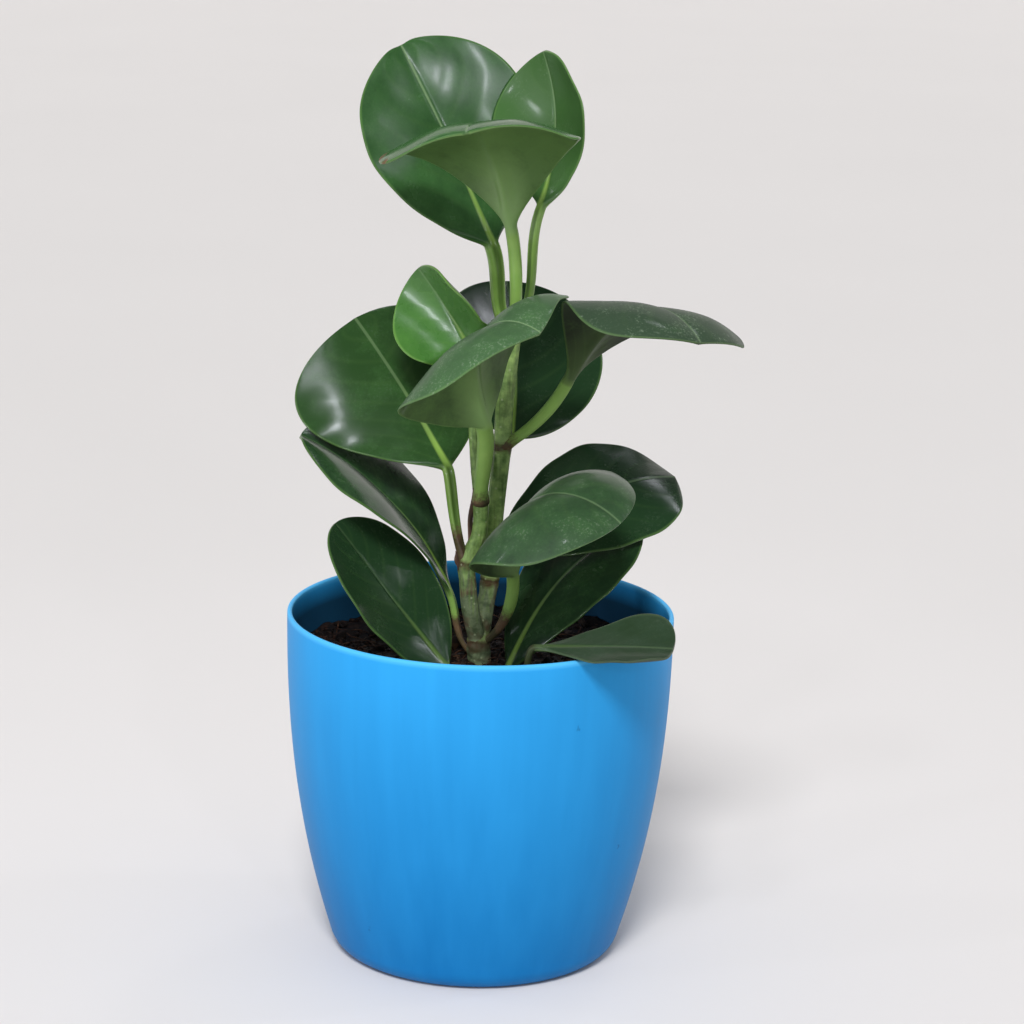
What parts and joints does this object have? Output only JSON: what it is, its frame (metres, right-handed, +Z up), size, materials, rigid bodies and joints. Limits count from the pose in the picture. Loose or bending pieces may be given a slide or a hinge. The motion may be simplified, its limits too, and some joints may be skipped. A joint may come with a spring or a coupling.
{
  "type": "potted peperomia",
  "caption": "Young potted peperomia: a forked fleshy stem with thick, round, glossy leaves, in soil in a tapered blue plastic pot.",
  "frame": {"origin": "centre of the pot's flat underside", "axes": "+Z up along the pot's axis, -Y to the front, +X to the right as seen from the front"},
  "size_m": [0.1602, 0.1433, 0.331],
  "materials": {
    "pot_plastic": "satin moulded",
    "soil": "damp crumbs",
    "stem": "satin, brown at the joints",
    "leaf": "waxy gloss",
    "leaf_young": "waxy gloss",
    "leaf_old": "dull"
  },
  "bodies": {
    "root": {"pot": "pot_plastic", "stem": "stem", "leaf_crown_back": "leaf", "leaf_crown_right": "leaf", "leaf_crown_front": "leaf", "leaf_middle_back": "leaf", "leaf_middle_right": "leaf", "leaf_branch_left": "leaf", "leaf_branch_front": "leaf", "leaf_branch_young": "leaf_young", "leaf_low_right": "leaf", "leaf_low_front": "leaf", "leaf_low_left": "leaf", "leaf_soil_left": "leaf", "leaf_soil_right": "leaf", "leaf_over_rim": "leaf_old", "soil": "soil"}
  },
  "joints": []
}
